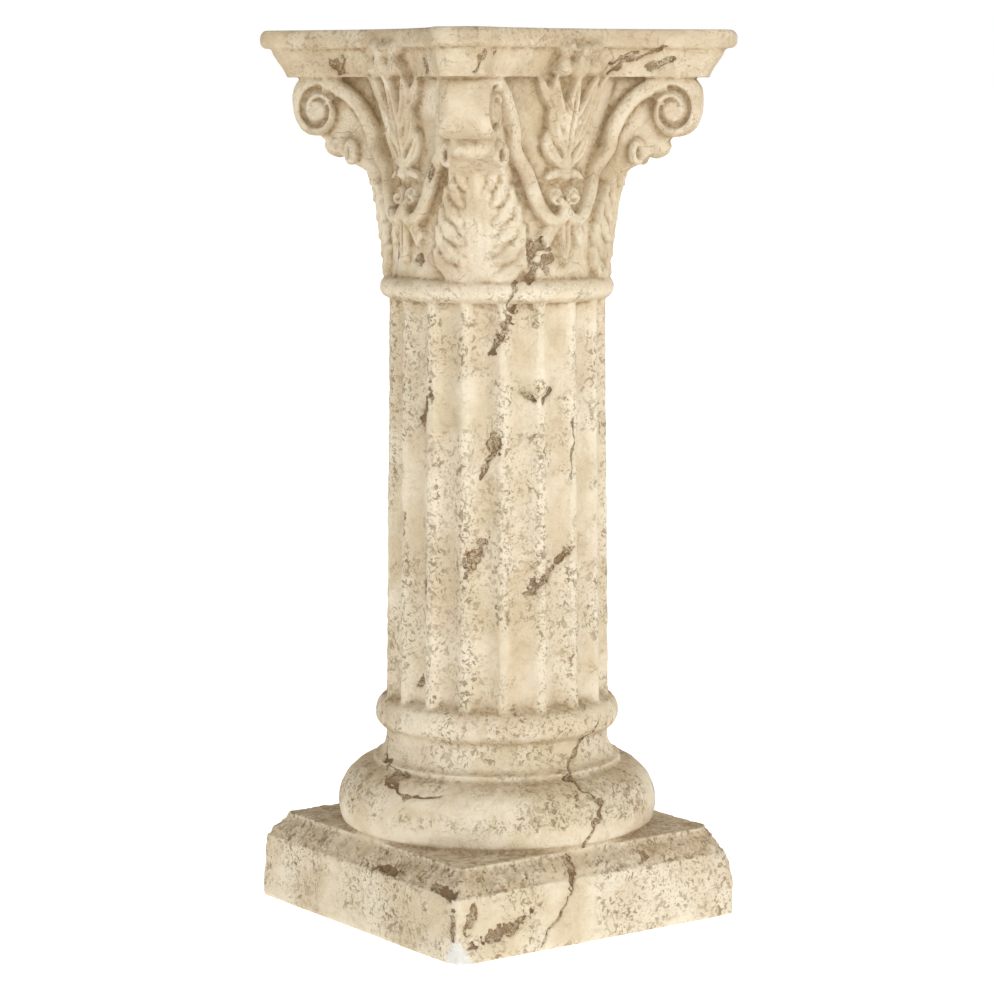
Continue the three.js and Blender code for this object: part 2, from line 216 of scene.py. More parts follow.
# Knobs over and under the scrolls: height of the middle, half width, half height, relief
CUP = (664, 7.5, 8, 9.5)
KNOT = (636, 5.5, 6, 8.5)
FLEURON_Z = 762.0
FLEURON_REACH = 116.0


def smooth_step(low, high, value):
    """Goes smoothly from 0 at low to 1 at high."""
    t = np.clip((value - low) / (high - low), 0, 1)
    return t * t * (3 - 2 * t)


def hump(value, width):
    """1 at zero, falling smoothly to nothing a few widths away."""
    return np.exp(-(value / width) ** 2)


def noise(points, size, seed):
    """Smooth random value from 0 to 1 at each point, with lumps of the given size."""
    scaled = points / size
    cell = np.floor(scaled).astype(np.int64)
    blend = scaled - cell
    blend = blend * blend * (3 - 2 * blend)
    total = np.zeros(len(points))
    for corner in np.ndindex(2, 2, 2):
        near = cell + corner
        mixed = near[:, 0] * 73856093 ^ near[:, 1] * 19349663 ^ near[:, 2] * 83492791
        mixed = (mixed ^ (seed + SEED) * 2654435761) & 0xFFFFFFFF
        mixed = ((mixed ^ (mixed >> 15)) * 2246822519) & 0xFFFFFFFF
        mixed = ((mixed ^ (mixed >> 13)) * 3266489917) & 0xFFFFFFFF
        weight = np.abs(1 - np.array(corner) - blend).prod(1)
        total += weight * ((mixed ^ (mixed >> 16)) / 0xFFFFFFFF)
    return total


# Closed meshes made of rings, as pairs of vertices and triangles

def outward(vertices, triangles):
    """Turns the triangles of a closed mesh to face out."""
    a, b, c = (vertices[triangles[:, k]] for k in range(3))
    volume = np.einsum("ij,ij->i", a, np.cross(b, c)).sum()
    return vertices, triangles if volume > 0 else triangles[:, ::-1]


def ring_mesh(rings):
    """Rings joined in order, closed round and capped at both ends."""
    count, around, _ = rings.shape
    low = np.arange(count - 1)[:, None] * around + np.arange(around)
    side = np.roll(low, -1, axis=1)
    first = np.arange(around)
    last = first + (count - 1) * around
    middle = np.full(around, count * around)
    triangles = [
        np.stack([low, side, side + around], -1).reshape(-1, 3),
        np.stack([low, side + around, low + around], -1).reshape(-1, 3),
        np.stack([middle, np.roll(first, -1), first], -1),
        np.stack([middle + 1, last, np.roll(last, -1)], -1),
    ]
    vertices = np.concatenate([rings.reshape(-1, 3), rings[:1].mean(1), rings[-1:].mean(1)])
    return outward(vertices, np.concatenate(triangles))


def on_face(bearing, radius, z):
    """Point at a bearing from the middle of the -Y face."""
    bearing, radius, z = np.broadcast_arrays(bearing, radius, z)
    return np.stack([radius * np.sin(bearing), -radius * np.cos(bearing), z], -1)


def on_corner(reach, offset, z):
    """Point along the +X -Y diagonal, offset towards the -Y side."""
    reach, offset, z = np.broadcast_arrays(reach, offset, z)
    return np.stack([(reach - offset) * np.sqrt(0.5), -(reach + offset) * np.sqrt(0.5), z], -1)


def turned(mesh, quarter):
    """Mesh turned about Z by quarter turns."""
    angle = quarter * np.pi / 2
    spin = np.array([[np.cos(angle), np.sin(angle), 0], [-np.sin(angle), np.cos(angle), 0], [0, 0, 1]])
    return mesh[0] @ spin, mesh[1]


def mirrored(mesh):
    """Mesh mirrored across the +X -Y diagonal."""
    return outward(np.stack([-mesh[0][:, 1], -mesh[0][:, 0], mesh[0][:, 2]], -1), mesh[1])


def curve(points, steps):
    """Smooth curve through points."""
    points = np.asarray(points, float)
    padded = np.concatenate([2 * points[:1] - points[1:2], points, 2 * points[-1:] - points[-2:-1]])
    t = np.linspace(0, len(points) - 1, steps)
    i = np.minimum(t.astype(int), len(points) - 2)
    f = (t - i)[:, None]
    a, b, c, d = (padded[i + k] for k in range(4))
    return b + 0.5 * f * (c - a + f * (2 * a - 5 * b + 4 * c - d + f * (3 * (b - c) + d - a)))


def unit(vectors):
    """Vectors made one long."""
    return vectors / np.linalg.norm(vectors, axis=-1, keepdims=True)


def sweep(path, facing, half_width, half_height, roundness=2.0):
    """Band along a path: width lies across it, height along the way it faces."""
    tangent = unit(np.gradient(path, axis=0))
    side = unit(np.cross(tangent, facing))
    rise = np.cross(side, tangent)
    angle = np.linspace(0, 2 * np.pi, 28, endpoint=False)
    c, s = np.cos(angle), np.sin(angle)
    across = np.sign(c) * np.abs(c) ** (2 / roundness)
    up = np.sign(s) * np.abs(s) ** (2 / roundness)
    wide = np.broadcast_to(half_width, len(path))[:, None, None]
    high = np.broadcast_to(half_height, len(path))[:, None, None]
    ring = wide * across[None, :, None] * side[:, None] + high * up[None, :, None] * rise[:, None]
    return ring_mesh(path[:, None] + ring)


# Turned body: radius at a bearing and height

def arc(centre_radius, centre_z, half_radius, half_height, start, end, steps):
    """Heights and radii along part of an ellipse, angles in degrees."""
    angle = np.radians(np.linspace(start, end, steps))
    return np.stack([centre_z + half_height * np.sin(angle), centre_radius + half_radius * np.cos(angle)])


def base_radius(z):
    """Foot, torus, groove, lip, scotia and ring with its sloping shoulder."""
    torus_ends = np.array([FOOT_TOP + 0.5, TORUS_TOP])
    torus_from, torus_to = np.degrees(np.arcsin((torus_ends - TORUS_CENTRE_Z) / TORUS_TUBE))
    ring_top = arc(RING_CENTRE_RADIUS, RING_CENTRE_Z, RING_BULGE, RING_HIGH_HEIGHT, 0, 64, 14)
    shoulder = ring_top[0, -1] + RING_SHOULDER_SLOPE * (ring_top[1, -1] - RING_SHOULDER_END)
    heights, radii = np.concatenate([
        np.array([[SLAB_TOP, FOOT_TOP], [FOOT_RADIUS, FOOT_RADIUS]]),
        arc(TORUS_CENTRE_RADIUS, TORUS_CENTRE_Z, TORUS_TUBE, TORUS_TUBE, torus_from, torus_to, 40),
        np.array([[GROOVE_LOW, GROOVE_HIGH, LIP_LOW], [GROOVE_RADIUS, GROOVE_RADIUS, LIP_RADIUS]]),
        arc(LIP_RADIUS, NECK_Z, LIP_RADIUS - NECK_RADIUS, NECK_Z - LIP_HIGH, 270, 180, 16),
        arc(RING_CENTRE_RADIUS, RING_CENTRE_Z, RING_BULGE, RING_LOW_HEIGHT, -75, -5, 14),
        ring_top,
        np.array([[shoulder, shoulder + 1], [RING_SHOULDER_END, 0]]),
    ], axis=1)
    return np.interp(z, heights, radii)


def flute_place(bearing):
    """0 in the middle of a flute, 1 in the middle of an arris."""
    turn = (bearing - FLUTE_PHASE) * FLUTES / (2 * np.pi)
    return 2 * np.abs(turn - np.round(turn))


def shaft_radius(bearing, z):
    """Shallow flutes between rounded arrises on a slightly tapered shaft."""
    across = np.minimum(flute_place(bearing) / (1 - ARRIS_SHARE), 1)
    up = (z - SHAFT_LOW) / (SHAFT_HIGH - SHAFT_LOW)
    outside = SHAFT_LOW_RADIUS + (SHAFT_HIGH_RADIUS - SHAFT_LOW_RADIUS) * up
    return np.where((up >= 0) & (up <= 1), outside - FLUTE_DEPTH * (1 - across ** 2.2), 0)


def astragal_radius(z):
    """Half round under the capital."""
    rise = np.clip(1 - ((z - ASTRAGAL_Z) / ASTRAGAL_TUBE) ** 2, 0, 1)
    return np.where(rise > 0, ASTRAGAL_CENTRE_RADIUS + ASTRAGAL_TUBE * np.sqrt(rise), 0)


def bell_radius(z):
    """Plain core of the capital, widening to its rim."""
    rise = np.clip((z - BELL_WAIST_Z) / (ABACUS_LOW - BELL_WAIST_Z), 0, 1)
    return BELL_RADIUS + (BELL_RIM_RADIUS - BELL_RADIUS) * rise ** 1.2


def leaf_radius(z):
    """Middle line of a corner leaf."""
    up = np.clip((z - LEAF_LOW) / (LEAF_HIGH - LEAF_LOW), 0, 1)
    return LEAF_FOOT_RADIUS + (LEAF_TOP_RADIUS - LEAF_FOOT_RADIUS) * up ** 1.3 + LEAF_FLARE * up ** 8


# Carving of the bell: heights over it at a distance from a middle line and a height

def flame(x, z, base, tip, half_width, bend=0.0):
    """Pointed lobe, 0 to 1 high, with a groove along its middle and an optional sideways bend."""
    (x0, z0), (x1, z1) = base, tip
    length = np.hypot(x1 - x0, z1 - z0)
    along = ((x - x0) * (x1 - x0) + (z - z0) * (z1 - z0)) / length ** 2
    held = np.clip(along, 0, 1)
    across = ((x - x0) * (z1 - z0) - (z - z0) * (x1 - x0)) / length - bend * np.sin(np.pi * held)
    width = half_width * np.sqrt(np.clip(1 - held ** 3, 1e-6, 1)) * (0.6 + 0.4 * smooth_step(0, 0.5, held))
    form = np.clip(1 - (across / width) ** 2, 0, 1) ** 0.5
    form = form * smooth_step(-0.12, 0.03, along) * (along < 1)
    return form * (1 - 0.4 * hump(across, 0.24 * half_width) * smooth_step(1, 0.75, along))


def frond(x, z, base, length, half_width, lean, end_lean):
    """Bent lobe with a wavy edge: its height from 0 to 1, and the groove along its middle."""
    share = np.linspace(0, 1, LOBE_STEPS)
    way = np.radians(lean + (end_lean - lean) * share[:-1])
    step = length / (LOBE_STEPS - 1)
    path_x = base[0] + step * np.append(0, np.cumsum(np.sin(way)))
    path_z = base[1] + step * np.append(0, np.cumsum(np.cos(way)))
    nearest = np.full(x.shape, np.inf)
    along = np.zeros(x.shape)
    for here_x, here_z, here in zip(path_x, path_z, share):
        away = np.hypot(x - here_x, z - here_z)
        along = np.where(away < nearest, here, along)
        nearest = np.minimum(nearest, away)
    wave = 1 + LOBE_WAVE_SHARE * np.cos(along * LOBE_WAVE_RATE)
    width = half_width * (0.55 + 0.45 * np.sin(np.pi * along ** 0.75)) * wave
    form = np.clip(1 - (nearest / width) ** 2, 0, 1) ** 0.5
    vein = hump(nearest, LEAF_VEIN_HALF_WIDTH)
    return form, vein * smooth_step(0, 0.2, along) * smooth_step(1, 0.75, along)


# Lobes down one edge of a corner leaf: distance of the base from the midrib, its height, length,
# half width, and lean in degrees at the base and at the tip
LEAF_LOBES = [
    (14, 575, 38, 8, 84, 14), (15, 590, 39, 8.2, 74, 4), (16, 606, 37, 8.2, 62, -2),
    (16, 622, 33, 8, 50, -8), (14, 638, 27, 7.6, 38, -12), (10, 652, 21, 6.6, 28, -16),
]


def corner_leaf(x, z):
    """Acanthus leaf: a smooth ribbed blade between rows of bent lobes."""
    stand = leaf_radius(z) - bell_radius(z)
    fade = np.clip(x / LEAF_HALF_WIDTH, 0, 1)
    surface = LEAF_EDGE_RELIEF + (stand - LEAF_EDGE_RELIEF) * (1 - fade ** 1.6)
    blade = smooth_step(LEAF_BLADE_EASE, -LEAF_BLADE_EASE, x - LEAF_BLADE_HALF_WIDTH)
    height = LEAF_BLADE_STAND * surface * blade
    for base, level, *shape in LEAF_LOBES:
        form, vein = frond(x, z, (base, level), *shape)
        cut = height - LEAF_CUT * smooth_step(0, 0.35, form)
        lobe = (surface + LEAF_LOBE_STAND) * form - LEAF_VEIN_DEPTH * vein
        height = np.where(form > 0, np.maximum(cut, lobe), height)
    ribs = np.cos(x * 2 * np.pi / RIB_SPACING) * smooth_step(RIBS_HALF_WIDTH, RIBS_EASE, x)
    ribs *= smooth_step(LEAF_LOW, RIBS_FULL_Z, z)
    height += RIB_RELIEF * ribs
    return np.where((z > LEAF_LOW - 2) & (z < LEAF_HIGH), np.maximum(height, 0), 0)


# Flames of the palmette and of the hanging leaf: base distance and height, tip distance and height,
# half width, relief and bend
FLAMES = [
    (0, 668, 0, 749, 7.5, 11, 0), (2, 670, 24, 700, 7, 8.5, 4), (2, 684, 21, 724, 7, 9.5, 4),
    (3, 702, 20, 747, 7, 10, 3), (14, 716, 33, 748, 5.5, 8, 2), (1, 664, 22, 659, 5, 7, -2),
    (0, 630, 0, 586, 7.5, 8, 0), (2, 627, 20, 600, 6.5, 7, -3), (3, 622, 26, 608, 5, 6, -2),
]


def knob(x, z, middle_z, half_width, half_height, relief):
    """Rounded knob on the middle line of a face."""
    return relief * np.clip(1 - (x / half_width) ** 2 - ((z - middle_z) / half_height) ** 2, 0, 1) ** 0.5


def face_ornament(x, z):
    """Palmette on two scrolls and the hanging leaf below, at distances x from the middle line."""
    height = np.zeros_like(x)
    for x0, z0, x1, z1, half_width, relief, bend in FLAMES:
        height = np.maximum(height, relief * flame(x, z, (x0, z0), (x1, z1), half_width, bend))
    scroll = np.hypot(x - SCROLL_X, z - SCROLL_Z)
    turn = np.arctan2(z - SCROLL_Z, SCROLL_X - x)
    groove = scroll - SCROLL_COIL_RADIUS - SCROLL_COIL_GROWTH * turn / np.pi
    coil = hump(groove, SCROLL_COIL_HALF_WIDTH) * smooth_step(-2.6, -1.8, turn)
    disc = np.clip(1 - (scroll / SCROLL_RADIUS) ** 6, 0, 1) ** 0.5
    height = np.maximum(height, SCROLL_RELIEF * disc - SCROLL_COIL_DEPTH * coil)
    return np.maximum(height, np.maximum(knob(x, z, *CUP), knob(x, z, *KNOT)))


def turned_body():
    """Base, shaft, astragal and carved bell as one skin about the axis."""
    z = np.concatenate([
        np.arange(CORE_LOW, PLAIN_LOW, BASE_STEP),
        np.arange(PLAIN_LOW, PLAIN_HIGH, SHAFT_STEP),
        np.arange(PLAIN_HIGH, ABACUS_LOW + OVERLAP, BELL_STEP),
    ])
    bearing = np.linspace(-np.pi, np.pi, CORE_SIDES, endpoint=False)
    tall, round_about = np.meshgrid(z, bearing, indexing="ij")
    radius = np.maximum(base_radius(tall), shaft_radius(round_about, tall))
    radius = np.maximum(radius, astragal_radius(tall))
    quarter = np.pi / 2
    off_middle = np.abs(round_about - quarter * np.round(round_about / quarter)) * FACE_RADIUS
    off_corner = quarter / 2 * FACE_RADIUS - off_middle
    carving = np.maximum(corner_leaf(off_corner, tall), face_ornament(off_middle, tall))
    bell = np.where(tall > ASTRAGAL_Z, bell_radius(tall) + carving, 0)
    return ring_mesh(on_face(round_about, np.maximum(radius, bell), tall))


# Square and free-standing forms

def plinth():
    """Drafted slab, ogee and plate with slightly rounded corners."""
    eased_z, eased = np.array(LOWER_EDGE).T
    z = np.concatenate([
        eased_z,
        np.arange(eased_z[-1] + SLAB_STEP, SLAB_TOP - 2 * FILLET_HALF_HEIGHT, SLAB_STEP),
        np.arange(SLAB_TOP - FILLET_HALF_HEIGHT, PLATE_LOW, BELL_STEP),
        [PLATE_LOW, PLATE_TOP - PLATE_EASE, PLATE_TOP],
    ])
    half = np.interp(z, [eased_z[-1], SLAB_TOP], [PLINTH_HALF, SLAB_TOP_HALF])
    half -= OGEE_FILLET * smooth_step(SLAB_TOP - FILLET_HALF_HEIGHT, SLAB_TOP + FILLET_HALF_HEIGHT, z)
    half -= (SLAB_TOP_HALF - OGEE_FILLET - PLATE_HALF) * smooth_step(OGEE_LOW, PLATE_LOW, z)
    half -= np.interp(z, [*eased_z, PLATE_TOP - PLATE_EASE, PLATE_TOP], [*eased, 0, PLATE_EASE])
    t = np.linspace(-np.pi, np.pi, 720, endpoint=False)
    square = np.abs(np.cos(t)) ** CORNER_SQUARENESS + np.abs(np.sin(t)) ** CORNER_SQUARENESS
    return ring_mesh(on_face(t, half[:, None] * square ** (-1 / CORNER_SQUARENESS), z[:, None]))


def abacus_outline():
    """Hollow sides between blunt horns with rounded edges."""
    far = (HORN_REACH + HORN_HALF_WIDTH) * np.sqrt(0.5)
    near = (HORN_REACH - HORN_HALF_WIDTH) * np.sqrt(0.5)
    sag = far - ABACUS_WAIST
    arc_radius = (near ** 2 + sag ** 2) / (2 * sag)
    swing = np.linspace(-1, 1, 160) * np.arcsin(near / arc_radius)
    hollow = arc_radius * np.cos(swing) - ABACUS_WAIST - arc_radius
    x = np.append(arc_radius * np.sin(swing), np.linspace(near, far, HORN_STEPS)[1:-1])
    y = np.append(hollow, np.linspace(-far, -near, HORN_STEPS)[1:-1])
    quarter = x + 1j * y
    outline = np.concatenate([quarter * 1j ** side for side in range(SIDES)])
    reach = np.arange(-HORN_ROUNDING, HORN_ROUNDING + 1)
    weights = np.cos(reach / (HORN_ROUNDING + 1) * np.pi / 2) ** 2
    rounded = sum(w * np.roll(outline, k) for w, k in zip(weights, reach)) / weights.sum()
    return np.stack([rounded.real, rounded.imag], -1)


def abacus():
    """Hollow-sided slab: cavetto face, step and rounded lip."""
    outline = abacus_outline()
    z, scale = np.array(ABACUS_PROFILE).T
    flat = outline[None] * scale[:, None, None]
    return ring_mesh(np.dstack([flat, np.broadcast_to(z[:, None], flat.shape[:2])]))


def volute_half(reach):
    """Half the thickness of a corner block at a reach along the diagonal."""
    return VOLUTE_TIP_HALF_THICKNESS + (VOLUTE_TIP_REACH - reach) * VOLUTE_SPREAD


def spiral(unrolled):
    """Outer edge of the rolled band after an angle from its start."""
    return VOLUTE_INNER + (VOLUTE_OUTER - VOLUTE_INNER) / (1 + (unrolled / VOLUTE_HALF_TURN) ** VOLUTE_FALL)


def volute():
    """Rolled band about an eye, carved on both faces of a corner block with a rounded rim."""
    angle = np.linspace(VOLUTE_START, VOLUTE_START - 2 * np.pi, 200, endpoint=False)
    unrolled = VOLUTE_START - angle
    squared = np.abs(np.cos(angle)) ** VOLUTE_SHOULDER + np.abs(np.sin(angle)) ** VOLUTE_SHOULDER
    fuller = (np.cos(angle) > 0) & (np.sin(angle) > 0)
    edge = spiral(unrolled) * np.where(fuller, squared ** (-1 / VOLUTE_SHOULDER), 1)
    radius = np.linspace(0.03, 1, 56)[:, None] * edge
    depth = np.zeros(radius.shape)
    for lap in range(VOLUTE_LAPS):
        outer = spiral(unrolled + 2 * np.pi * lap)
        inner = spiral(unrolled + 2 * np.pi * (lap + 1))
        place = (outer - radius) / (outer - inner)
        step = smooth_step(BAND_SHARE - 0.08, BAND_SHARE + 0.06, place)
        groove = step * (1 - BAND_GROOVE_FILL * smooth_step(BAND_SHARE, 1, place))
        here = (radius <= outer) & (radius > inner)
        cut = BAND_RELIEF * groove * smooth_step(EYE_RADIUS, EYE_EASE_RADIUS, radius)
        depth = np.where(here, cut, depth)
    into_rim = np.clip(radius - edge + VOLUTE_RIM_ROUNDING, 0, VOLUTE_RIM_ROUNDING)
    depth += VOLUTE_RIM_ROUNDING - np.sqrt(VOLUTE_RIM_ROUNDING ** 2 - 0.98 * into_rim ** 2)
    reach = VOLUTE_EYE_REACH + radius * np.cos(angle)
    z = VOLUTE_EYE_Z + VOLUTE_STRETCH * radius * np.sin(angle)
    half = volute_half(reach) - depth
    rim_share = np.linspace(1, -1, 14)[1:-1, None]
    rim = on_corner(reach[-1], half[-1] * rim_share, np.broadcast_to(z[-1], (len(rim_share), len(angle))))
    return ring_mesh(np.concatenate([on_corner(reach, half, z), rim, on_corner(reach, -half, z)[::-1]]))


def web():
    """Set-back wall that joins a volute to the bell."""
    edge_reach, edge_z = np.array(WEB_LOWER_EDGE).T
    reach = np.linspace(edge_reach[0], VOLUTE_EYE_REACH + WEB_PAST_EYE, 16)
    half = volute_half(reach) - WEB_RELIEF
    low = np.interp(reach, edge_reach, edge_z)
    high = np.full(len(reach), ABACUS_LOW + 2.0)
    corners = [(half, low), (half, high), (-half, high), (-half, low)]
    return ring_mesh(np.stack([on_corner(reach, offset, z) for offset, z in corners], 1))


def stem():
    """Flat-backed band from the cusp round and up into the volute's outer turn."""
    low = [on_face(x / FACE_RADIUS, bell_radius(z) + STEM_STAND, z) for x, z in STEM_LOW]
    high = [
        on_corner(reach, volute_half(reach) - STEM_HALF_HEIGHT + STEM_OVER_BLOCK, z)
        for reach, z in STEM_HIGH
    ]
    path = curve(np.array(low + high), 120)
    along_face = on_corner(VOLUTE_SPREAD, 1.0, 0.0)
    turn = smooth_step(STEM_TURN_LOW, STEM_TURN_HIGH, path[:, 2:])
    facing = unit((1 - turn) * unit(path * [1, 1, 0]) + turn * unit(along_face))
    width = STEM_HALF_WIDTH * np.linspace(*STEM_TAPER, len(path))
    return sweep(path, facing, width, STEM_HALF_HEIGHT, STEM_SQUARENESS)


def tongue():
    """Neck of a corner leaf, bending out from the blade into the roll at its tip."""
    reach, z = curve(TONGUE_PATH, 40).T
    path = on_corner(reach, 0.0, z)
    across = on_corner(0.0, 1.0, 0.0)
    facing = np.cross(across, np.gradient(path, axis=0))
    width = np.linspace(*TONGUE_HALF_WIDTHS, len(path))
    return sweep(path, facing, width, TONGUE_HALF_THICKNESS, TONGUE_SQUARENESS)


def curl():
    """Rolled leaf tip, blunt at its ends."""
    across = np.linspace(-1, 1, 41)[:, None]
    angle = np.linspace(0, 2 * np.pi, 40, endpoint=False)
    round_end = np.sqrt(np.clip(1 - np.abs(across) ** CURL_BLUNTNESS, 0.01, 1))
    swell = round_end * (0.95 + 0.05 * np.cos(3 * np.pi * across))
    reach = CURL_REACH + CURL_HALF_REACH * swell * np.cos(angle)
    z = CURL_Z + CURL_HALF_RISE * swell * np.sin(angle)
    return ring_mesh(on_corner(reach, across * CURL_HALF_WIDTH, z))


def hoop(reach, offset, z, radius, rise, thickness, turn):
    """Coil of a leaf's edge, its axis turned from the diagonal by an angle."""
    angle = np.linspace(0, 2.05 * np.pi, 60)
    level = radius * np.cos(angle)
    turn = np.radians(turn)
    path = on_corner(reach - level * np.sin(turn), offset + level * np.cos(turn), z + rise * np.sin(angle))
    facing = np.broadcast_to(on_corner(np.cos(turn), np.sin(turn), 0.0), path.shape)
    return sweep(path, facing, thickness, 1.25 * thickness)


def petal(radius_at, across, z, length, width, relief, lean):
    """Drop-shaped petal lying on a face, with a crease along it."""
    lean = np.radians(lean)
    polar = np.linspace(0.04, np.pi - 0.04, 22)[:, None]
    about = np.linspace(0, 2 * np.pi, 28, endpoint=False)
    x = np.sin(polar) * np.cos(about)
    y = np.broadcast_to(np.cos(polar), x.shape)
    depth = np.sin(polar) * np.sin(about) * (1 - 0.16 * hump(x, 0.22))
    fat = width * (1 - 0.3 * y)
    right = across + x * fat * np.cos(lean) + y * length * np.sin(lean)
    height = z + y * length * np.cos(lean) - x * fat * np.sin(lean)
    return ring_mesh(on_face(right / radius_at, radius_at + depth * relief, height))


# Petals of a fleuron: distance across, height over its middle, half length, half width, relief, lean
FLEURON_PETALS = [
    (0, -3, 15, 9, 14, 0), (1, 6, 9, 7.5, 17, 20), (-14, 9, 10, 10, 13, -50), (-17, -7, 9.5, 9.5, 12, -110),
    (14, 8, 14, 8.5, 13, 66), (15, -7, 10.5, 9, 12, 115),
]


def fleuron():
    """Flower in the middle of an abacus side."""
    return [petal(FLEURON_REACH, across, FLEURON_Z + up, *form) for across, up, *form in FLEURON_PETALS]


# One skin

def mesh_of(name, vertices, faces):
    """Blender mesh from millimetre vertices and faces of one size."""
    mesh = bpy.data.meshes.new(name)
    mesh.vertices.add(len(vertices))
    mesh.vertices.foreach_set("co", (vertices * MM).astype(np.float32).ravel())
    mesh.loops.add(faces.size)
    mesh.loops.foreach_set("vertex_index", faces.astype(np.int32).ravel())
    mesh.polygons.add(len(faces))
    mesh.polygons.foreach_set("loop_start", np.arange(0, faces.size, faces.shape[1], dtype=np.int32))
    mesh.update(calc_edges=True)
    return mesh


def values_of(items, key, width, kind=np.float32):
    """Rows of numbers read from a Blender list."""
    values = np.empty(len(items) * width, kind)
    items.foreach_get(key, values)
    return values.reshape(-1, width)


def with_modifier(mesh, kind, **settings):
    """Mesh with one modifier carried out."""
    holder = bpy.data.objects.new("holder", mesh)
    bpy.context.scene.collection.objects.link(holder)
    modifier = holder.modifiers.new(kind, kind)
    for key, value in settings.items():
        setattr(modifier, key, value)
    shaped = holder.evaluated_get(bpy.context.evaluated_depsgraph_get())
    result = bpy.data.meshes.new_from_object(shaped)
    bpy.data.objects.remove(holder)
    bpy.data.meshes.remove(mesh)
    return result


def outer_skin(mesh):
    """The mesh without any closed pocket inside it."""
    points = values_of(mesh.vertices, "co", 3).astype(float) / MM
    quads = values_of(mesh.loops, "vertex_index", 1, np.int32).reshape(-1, 4)
    first, second = values_of(mesh.edges, "vertices", 2, np.int32).T
    label = np.arange(len(points))
    while True:
        lower = label.copy()
        np.minimum.at(lower, first, label[second])
        np.minimum.at(lower, second, label[first])
        lower = lower[lower]
        if (lower == label).all():
            break
        label = lower
    kept = label == np.bincount(label).argmax()
    place = np.cumsum(kept) - 1
    bpy.data.meshes.remove(mesh)
    return mesh_of("casting", points[kept], place[quads[kept[quads[:, 0]]]])


def casting():
    """All forms joined into one skin."""
    corner = [volute(), web(), tongue(), curl()]
    for half in (stem(), hoop(*EDGE_COIL), hoop(*TIP_COIL)):
        corner += [half, mirrored(half)]
    meshes = [turned_body(), plinth(), abacus()]
    for quarter in range(SIDES):
        meshes += [turned(mesh, quarter) for mesh in corner + fleuron()]
    start = np.cumsum([0] + [len(vertices) for vertices, _ in meshes])
    vertices = np.concatenate([vertices for vertices, _ in meshes])
    triangles = np.concatenate([triangles + first for (_, triangles), first in zip(meshes, start)])
    joined = mesh_of("casting", vertices, triangles)
    return outer_skin(with_modifier(joined, "REMESH", mode="VOXEL", voxel_size=VOXEL * MM))


# Weathering, and painted shade in hollows, undercuts and under mouldings

# Gouges on the round parts: bearing in degrees, height, half length, half width, slope in degrees
GOUGES = [
    (-17, 598, 12, 6.5, 62), (-10, 590, 10, 6, 60), (-18, 578, 10, 5, 58), (-69, 664, 8, 4.5, 70),
    (-80, 589, 7, 4, 0),
    (-99, 482, 11, 8, -25), (-77.5, 461, 18, 5.5, 64), (-19, 471.5, 8, 2.6, -25), (-9, 471.5, 10, 2.6, 38),
    (-38, 430, 11, 5.5, 75), (-42, 413, 12, 2.6, 68), (32, 462, 4, 3, 0), (-94.5, 359, 13, 4.5, 88),
    (-77.5, 307, 14, 4, 78), (-48.5, 330, 19, 4.6, 62), (2, 332, 17, 4.2, 42), (-11, 313, 17, 5.6, 38),
    (-82, 218, 9, 4, 40), (-31, 535, 14, 5, 62), (-38, 516, 12, 4, 66), (-84, 134, 10, 4, 0),
    (-63, 757, 8, 3, 85), (-119, 757, 7, 4, 70), (32, 757, 6, 3, 45), (22, 762, 9, 2.2, 38),
]
# Cracks on the round parts: bearing in degrees and height of each point
CRACKS = [
    [(-26, 574), (-28, 560), (-30, 548)],
    [(-97, 675), (-100, 640), (-101, 605), (-102, 574)],
    [(-116, 158), (-105, 144), (-89, 137), (-84, 133), (-72, 124), (-65, 128), (-57, 129)],
    [(22, 182), (16, 169), (9, 158), (2, 148), (-4, 137), (2, 128), (5, 115), (1, 104), (-2, 92), (-4, 83)],
    [(-38, 768), (-43, 750)],
    [(31, 772), (25, 762), (18, 748)],
    [(8.5, 450), (7, 425), (5.4, 399)],
    [(-96, 524), (-96.5, 500)],
]
CRACK_RADIUS = 100.0
CRACK_WANDER = 9.0
CRACK_HALF_WIDTH = 2.1
SPOT_TEAR = 2.8
# Marks on the -Y and -X sides of the plinth: place along the side, height, half length, half width, slope
FRONT_MARKS = [(-112, 22, 24, 6, 14), (-88, 30, 18, 5, 24), (-138, 40, 12, 5, 80), (-27, 64, 12, 5, 72)]
LEFT_MARKS = [(-146, 33, 20, 3.6, 88), (-128, 60, 18, 4, 5), (-40, 62, 20, 4, -4)]
FRONT_CRACK = [(-26, 80), (-28, 66), (-31, 55), (-42, 28), (-58, 17), (-64, 4)]
MARK_REACH = 8.0
# Reach along the diagonal that the worn +X -Y plinth corner keeps at each height
CORNER_WEAR = [(0, 215), (30, 214), (46, 210), (54, 206), (61, 201), (68, 195), (80, 188)]
CORNER_LUMPS = 3.0
MOST_WEAR = 30.0
# Chip at the foot of the -X -Y corner
CHIP_REACH = 217.0
CHIP_TOP = 26.0
CHIP_SLOPE = 0.5
CHIP_LUMPS = 4.0
CHIP_DEPTH_SHARE = 0.5
# Heights over which the flutes' tints, painted shade in their hollows and pale arrises, fade in at the foot
# and out at the top
FLUTES_LOW_FADE = (195, 205)
FLUTES_HIGH_FADE = (552, 545)
# Heights over which a tint fades in: dust on ledges, painted shade under mouldings, on the capital and on
# the abacus
LEDGE_FADE = (225, 205)
UNDERSIDE_FADE = (84, 90)
CAPITAL_FADE = (560, 575)
ABACUS_FADE = (742, 752)
